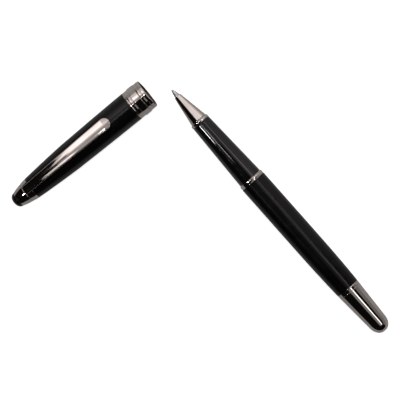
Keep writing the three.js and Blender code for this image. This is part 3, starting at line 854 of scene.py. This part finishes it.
def tube_radius(along):
    share = max(0.0, (along - WAIST[1]) / ROUND_LENGTH)
    slope_drop = REST_SLOPE * ROUND_LENGTH
    round_drop = rest_line(WAIST[1]) - slope_drop - CAP_R_END
    return rest_line(WAIST[1]) - slope_drop * share - round_drop * share**1.4


def domed(start, end, outer, rise):
    """A band that rises to its outer radius in the middle."""
    length = end - start - 0.12
    return [
        (start, BAND_BORE),
        (start, outer - rise),
        *curve(14, lambda s: (start + 0.06 + length * s, outer - rise * (2 * s - 1) ** 2)),
        (end, outer - rise),
        (end, BAND_BORE),
    ]


def cap_bands():
    lip = [
        (0, BAND_BORE + 0.1),
        (0, BAND_R - 0.2),
        (0.2, BAND_R),
        (LIP_END, BAND_R),
        (LIP_END, BAND_BORE),
        (0.1, BAND_BORE),
    ]
    turned("cap_lip_ring", lip, CAP, "cap", "polished_metal", ease=0.16)
    second = domed(LIP_END + FIT, RING_2_END, BAND_R, 0.06)
    turned("cap_ring_2", second, CAP, "cap", "polished_metal", ease=0.14)
    wide = ring(RING_2_END + FIT, CENTER_END, CENTER_BAND_R, BAND_BORE)
    turned("cap_center_band", wide, CAP, "cap", "polished_metal", ease=0.2)
    third = domed(CENTER_END + FIT, RING_3_END, BAND_R, 0.06)
    turned("cap_ring_3", third, CAP, "cap", "polished_metal", ease=0.14)
    thin = domed(RING_3_END + FIT, CAP_START - FIT, BAND_R - 0.02, 0.08)
    turned("cap_thin_ring", thin, CAP, "cap", "polished_metal", ease=0.1)


def cap_shell():
    floor_at = CAP_END - CAP_FLOOR
    bore = STUD_R + FIT

    def front(s):
        """The tube's front stretch on one smooth curve through its three CAD radii."""
        along = CAP_START + (WAIST[0] - CAP_START) * s
        return along, CAP_R + (rest_line(WAIST[0]) - CAP_R) * s + FRONT_BULGE * 4 * s * (1 - s)

    def rounding(s):
        along = WAIST[1] + ROUND_LENGTH * s
        return along, tube_radius(along)

    tube = [
        (CAP_START, BAND_BORE),
        *curve(20, front),
        (WAIST[1], rest_line(WAIST[1])),
        *curve(36, rounding)[1:],
        (CAP_END, bore),
        (floor_at, bore),
        (floor_at, tube_radius(floor_at) - CAP_WALL),
        (LINER_END, tube_radius(LINER_END) - CAP_WALL),
        (WAIST[1], rest_line(WAIST[1]) - CAP_WALL),
        (BAND_BORE_END, BAND_BORE),
    ]
    turned("cap_tube", tube, CAP, "cap", "satin_black", ease=0.09)
    liner = [
        (LINER_END - 1, 0),
        (LINER_END - 1, POINT_R),
        (GRIP[1] + 1, POINT_R),
        (GRIP[1], GRIP_R),
        (GRIP[0], GRIP_R),
        (GRIP[0] - GRIP_TAPER, MOUTH_BORE),
        (LINER_START + LINER_FLARE, MOUTH_BORE),
        (LINER_START, LINER_R - 0.1),
        (LINER_START, LINER_R),
        (GRIP[0] - GRIP_TAPER, LINER_R),
        (GRIP[0], GRIP_R + LINER_WALL),
        (LINER_END, POINT_R + LINER_WALL),
        (LINER_END, 0),
    ]
    turned("inner_cap", liner, CAP, "cap", "dark_plastic", ease=0.15, steps=96)


def crown():
    bore = STUD_R + FIT
    start, end = COLLAR
    length = end - start

    def face(s):
        fall = COLLAR_R_BACK - CAP_R_END + 0.02
        return start + length * s, CAP_R_END - 0.01 + fall * s + 0.05 * math.sin(math.pi * s)

    collar = [(start, bore), *curve(20, face), (end, bore)]
    turned("clip_collar", collar, CAP, "cap", "polished_metal", ease=0.12)
    start, end = SHELL
    drop = COLLAR_R_BACK - CROWN_R_BACK

    def wall(s):
        return start + (end - start) * s, COLLAR_R_BACK - drop * (0.75 * s + 0.25 * s**3)

    def front_edge(s):
        angle = s * math.pi / 2
        return start + 0.34 * (1 - math.cos(angle)), COLLAR_R_BACK - 0.30 + 0.24 * math.sin(angle)

    front = curve(8, front_edge)
    shell = [
        (start, bore),
        *front,
        *curve(28, wall)[3:],
        (end, CROWN_SPIGOT_R + FIT),
        (start + CROWN_FLOOR, CROWN_SPIGOT_R + FIT),
        (start + CROWN_FLOOR, bore),
    ]
    turned("crown_shell", shell, CAP, "cap", "polished_metal", ease=0.11)
    top_start = end + FIT
    rise = CAP_TOP - top_start
    base = CROWN_R_BACK - FIT

    def dome(s):
        angle = s * math.pi / 2
        return top_start + rise * math.sin(angle), base * max(math.cos(angle), 0) ** 0.85

    insert = [
        (top_start + rise * 0.2, 0),
        (top_start + rise * 0.2, bore),
        (start + CROWN_FLOOR + FIT, bore),
        (start + CROWN_FLOOR + FIT, CROWN_SPIGOT_R),
        (top_start, CROWN_SPIGOT_R),
        *curve(30, dome)[:-1],
        (CAP_TOP, 0),
    ]
    turned("crown_insert", insert, CAP, "cap", "gloss_black", ease=0.06)
    stud = [
        (NUT[0] - 0.8, 0),
        (NUT[0] - 0.8, STUD_R - 0.2),
        (NUT[0] - 0.6, STUD_R),
        (top_start, STUD_R),
        (top_start, 0),
    ]
    turned("crown_stud", stud, CAP, "cap", "steel", ease=0.06, steps=72)

    def hexagon(along, radius, angle):
        """Flats on the nut's outside, with its corners chamfered at both ends."""
        if radius < 2:
            return radius
        flat = NUT_FLATS / math.cos((angle - math.pi / 2) % (math.pi / 3) - math.pi / 6)
        return min(flat, radius)

    nut = [
        (NUT[0], bore),
        (NUT[0], 2.3),
        (NUT[0] + 0.25, NUT_CORNERS),
        (NUT[1] - 0.25, NUT_CORNERS),
        (NUT[1], 2.3),
        (NUT[1], bore),
    ]
    turned("crown_nut", nut, CAP, "cap", "brass", ease=0.03, shaped=hexagon)


# ---------- the clip ----------
def clip_top(along):
    share = (along - CLIP[0]) / (CLIP[1] - CLIP[0])
    high = rest_line(CLIP[0] + 6) + 0.6 + CLIP_THICKNESS
    low = CAP_R_END + CLIP_THICKNESS + 0.12
    return high + (low - high) * max(share, 0) ** 2.2 - 0.3 * max(0, 1 - share * 12) ** 2


def clip_half_width(along):
    share = (along - CLIP[0]) / (CLIP[1] - CLIP[0])
    straight = (CLIP_WIDTHS[0] + (CLIP_WIDTHS[1] - CLIP_WIDTHS[0]) * share) / 2
    into = min(1, (along - CLIP[0]) / straight)
    return straight * math.sqrt(max(0, 1 - (1 - into) ** 2))


def clip_loop(along):
    """One section of the arm: a crowned back, a rolled edge on each side and a flat underside."""
    half = max(clip_half_width(along), 0.1)
    top = clip_top(along)
    under = top - CLIP_THICKNESS
    edge = min(CLIP_EDGE, half * 0.45)
    r = CLIP_UNDER_ROUND
    loop = []
    for k in range(9):  # the underside's far edge up to the side
        turn = math.pi / 2 * k / 8
        loop.append((half - r + r * math.sin(turn), under + r - r * math.cos(turn)))
    for k in range(13):  # the rolled top edge
        turn = math.pi / 2 * k / 12
        rolled = top - CLIP_EDGE_DROP + CLIP_EDGE_RISE * math.sin(turn)
        loop.append((half - edge + edge * math.cos(turn), rolled))
    one_side = len(loop)
    inner = half - edge
    for k in range(1, 10):  # the crowned back
        across = inner * (1 - 2 * k / 10)
        loop.append((across, top - CLIP_CROWN * (across / inner) ** 2))
    mirrored = [(-x, z) for x, z in reversed(loop[:one_side])]
    return [Vector((x, along, z)) for x, z in loop + mirrored]


def clip():
    length = CLIP[1] - CLIP[0]
    nose_end = CLIP[0] + CLIP_NOSE
    stations = [CLIP[0] + 0.006]
    stations += [CLIP[0] + CLIP_NOSE * (i / 26) ** 1.8 for i in range(1, 27)]
    stations += [nose_end + (length - CLIP_NOSE) * (i / 90) for i in range(1, 91)]
    loops = [clip_loop(s) for s in stations]
    size = len(loops[0])
    points = [p for loop in loops for p in loop]
    faces, maps = [], []
    for i in range(len(loops) - 1):
        for k in range(size):
            a, b = i * size + k, i * size + (k + 1) % size
            faces.append((a, a + size, b + size, b))
            u0, u1, v0, v1 = k / size, (k + 1) / size, stations[i], stations[i + 1]
            maps += [(u0, v0), (u0, v1), (u1, v1), (u1, v0)]
    for base, along in ((0, stations[0]), ((len(loops) - 1) * size, stations[-1])):
        faces.append(tuple(range(base, base + size)))
        maps += [(k / size, along) for k in range(size)]
    foot_at = COLLAR[0] + (COLLAR[1] - COLLAR[0]) * 0.55
    foot = (clip_top(foot_at) - CLIP_THICKNESS / 2, COLLAR_R_BACK - 0.9)
    half, deep = CLIP_FOOT
    sides = ((-half, -deep), (half, -deep), (half, deep), (-half, deep))
    corners = [(x, foot_at + y, z) for z in foot for x, y in sides]
    base = len(points)
    points += corners
    around = ((0, 4, 5, 1), (1, 5, 6, 2), (2, 6, 7, 3), (3, 7, 4, 0))
    for face in ((0, 1, 2, 3), (7, 6, 5, 4), *around):
        faces.append(tuple(base + k for k in face))
        maps += [(0.1 * k, foot_at) for k in range(4)]
    boss_at = CLIP[0] + BOSS_AT
    under = clip_top(boss_at) - CLIP_THICKNESS
    reach = under - (rest_line(boss_at) + 0.05)
    r, end_r = BOSS_ROUND, BOSS_R - BOSS_TAPER
    rows = [(under + 0.15, BOSS_R)]
    rows += [(under - (reach - r) * s / 4, BOSS_R - BOSS_TAPER * s / 4) for s in range(5)]
    for angle in (0.4, 0.8, 1.2, 1.57):
        rows.append((under - reach + r - r * math.sin(angle), end_r - r * (1 - math.cos(angle))))
    base = len(points)
    count = 40
    for height, radius in rows:
        for k in range(count):
            turn = 2 * math.pi * k / count
            points.append((radius * math.cos(turn), boss_at + radius * math.sin(turn), height))
    for i in range(len(rows) - 1):
        for k in range(count):
            a, b = base + i * count + k, base + i * count + (k + 1) % count
            faces.append((a, a + count, b + count, b))
            maps += [(0, 0), (0, 0.1), (0.1, 0.1), (0.1, 0)]
    for row in (0, len(rows) - 1):
        faces.append(tuple(range(base + row * count, base + (row + 1) * count)))
        maps += [(0.1, 0.1)] * count
    piece = mesh_piece("look_clip", points, faces, maps, CLIP_AT)
    stands_for(piece, "clip", "clip", "polished_metal")


# ---------- the stage ----------
def floor():
    size = 0.8  # half the table's side
    corners = [(-size, -size, 0), (size, -size, 0), (size, size, 0), (-size, size, 0)]
    mesh = bpy.data.meshes.new("floor")
    mesh.from_pydata(corners, [], [(0, 1, 2, 3)])
    made = bpy.data.objects.new("floor", mesh)
    mesh.materials.append(pale_floor())
    bpy.context.scene.collection.objects.link(made)
    made.location.z = cad_box[0].z


def soft_panel(name, low, high, glow, colour):
    """A soft box: a flat rectangle of light between two corners, facing the object."""
    low, high = Vector(low), Vector(high)
    centre, span = (low + high) / 2, high - low
    thin = min(range(3), key=lambda i: abs(span[i]))
    normal = Vector((0, 0, 0))
    normal[thin] = -1 if centre[thin] > 0 else 1
    data = bpy.data.lights.new(name, "AREA")
    data.shape = "RECTANGLE"
    across = Vector((0, 1, 0)) if thin == 0 else Vector((1, 0, 0))
    upward = normal.cross(across) * -1
    sides = [abs(span.dot(across)), abs(span.dot(upward))]
    data.size, data.size_y = sides
    data.energy = glow * math.pi * sides[0] * sides[1]
    data.color = colour
    turn = Matrix((across, (-normal).cross(across), -normal)).transposed()
    made = bpy.data.objects.new(name, data)
    made.matrix_world = Matrix.Translation(centre) @ turn.to_4x4()
    made.visible_camera = False
    bpy.context.scene.collection.objects.link(made)


WHITE = (1, 1, 1)
ROSY = (1.0, 0.935, 0.93)
# name, two corners, brightness and colour
PANELS = (
    ("side_box", (-1.30, -0.20, 0.7), (-0.45, 1.20, 0.7), 1.05, ROSY),
    ("nose_box", (-0.45, -0.17, 0.7), (-0.27, 1.20, 0.7), 1.35, ROSY),
    ("far_box", (-0.27, -0.20, 0.7), (-0.09, 1.20, 0.7), 0.55, ROSY),
    ("middle_box", (-0.09, 0.21, 0.7), (0.05, 1.20, 0.7), 0.8, ROSY),
    ("middle_lamp", (-0.15, 0.47, 0.69), (0.05, 0.57, 0.69), 3.4, WHITE),
    ("overhead_lamp", (0.06, 0.29, 0.69), (0.70, 0.42, 0.69), 3.2, WHITE),
    ("overhead_fringe", (0.06, -0.02, 0.7), (0.70, 0.29, 0.7), 0.33, WHITE),
    ("clip_lamp", (-0.62, -0.215, 0.69), (-0.345, -0.035, 0.69), 1.1, ROSY),
    ("clip_patch", (-0.13, -0.24, 0.69), (-0.077, -0.16, 0.69), 1.8, ROSY),
    ("near_strip", (-0.135, -0.48, 0.69), (-0.103, -0.39, 0.69), 75.0, WHITE),
    ("inner_strip", (-0.118, -0.092, 0.69), (-0.075, -0.072, 0.69), 32.0, WHITE),
    ("back_wall_left", (-1.2, 0.95, 0.0), (-0.3, 0.95, 0.66), 1.05, ROSY),
    ("back_wall", (-0.3, 0.95, 0.0), (0.07, 0.95, 0.66), 0.62, ROSY),
    ("back_wall_right", (0.07, 0.95, 0.0), (1.3, 0.95, 0.66), 0.25, ROSY),
    ("left_wall", (-1.35, -0.3, 0.0), (-1.35, 0.95, 0.68), 0.4, WHITE),
)


def lights():
    """Soft boxes and lamps overhead, lit walls at the back and left, and a dark room round them.

    The world is white to the camera only.
    """
    for panel in PANELS:
        soft_panel(*panel)
    world = bpy.data.worlds.new("studio")
    bpy.context.scene.world = world
    world.use_nodes = True
    nodes, links = world.node_tree.nodes, world.node_tree.links
    nodes.clear()
    rays = nodes.new("ShaderNodeLightPath")
    seen = nodes.new("ShaderNodeBackground")
    seen.inputs["Color"].default_value = (1, 1, 1, 1)
    room = nodes.new("ShaderNodeBackground")
    room.inputs["Color"].default_value = (0.006, 0.005, 0.005, 1)
    mix = nodes.new("ShaderNodeMixShader")
    output = nodes.new("ShaderNodeOutputWorld")
    links.new(rays.outputs["Is Camera Ray"], mix.inputs[0])
    links.new(room.outputs[0], mix.inputs[1])
    links.new(seen.outputs[0], mix.inputs[2])
    links.new(mix.outputs[0], output.inputs[0])


SENSOR = 36.0


def camera():
    """Nearly straight down, with a long lens, leaning a little along the table's Y."""
    width = 0.1550  # what the frame takes in at the axis's height
    lens = 200.0
    turn = math.radians(48.35)  # from the pen's axis to the frame's right-hand side
    lean = math.radians(4.8)
    right = Vector((math.cos(turn), math.sin(turn), 0))
    upward = Vector((-math.sin(turn), math.cos(turn), 0))
    back = (Vector((0, 1, 0)) * math.sin(lean) + Vector((0, 0, 1)) * math.cos(lean)).normalized()
    upward = (upward - back * upward.dot(back)).normalized()
    right = upward.cross(back)
    low, high = cad_box
    centre = (low + high) / 2
    aim_x, aim_y = centre.x - 0.01677, centre.y + 0.014785  # puts both parts where they lie
    aim = Vector((aim_x, aim_y, middle("barrel_tube").z))
    data = bpy.data.cameras.new("camera")
    data.lens = lens
    data.sensor_width = SENSOR
    data.clip_start, data.clip_end = 0.01, 50
    made = bpy.data.objects.new("camera", data)
    bpy.context.scene.collection.objects.link(made)
    turn = Matrix((right, upward, back)).transposed()
    made.matrix_world = Matrix.Translation(aim + back * (width * lens / SENSOR)) @ turn.to_4x4()
    bpy.context.scene.camera = made


writing_ball()
refill()
section()
barrel()
tail_spring()
cap_bands()
cap_shell()
crown()
clip()
floor()
lights()
camera()
bpy.context.scene.view_settings.view_transform = "Standard"
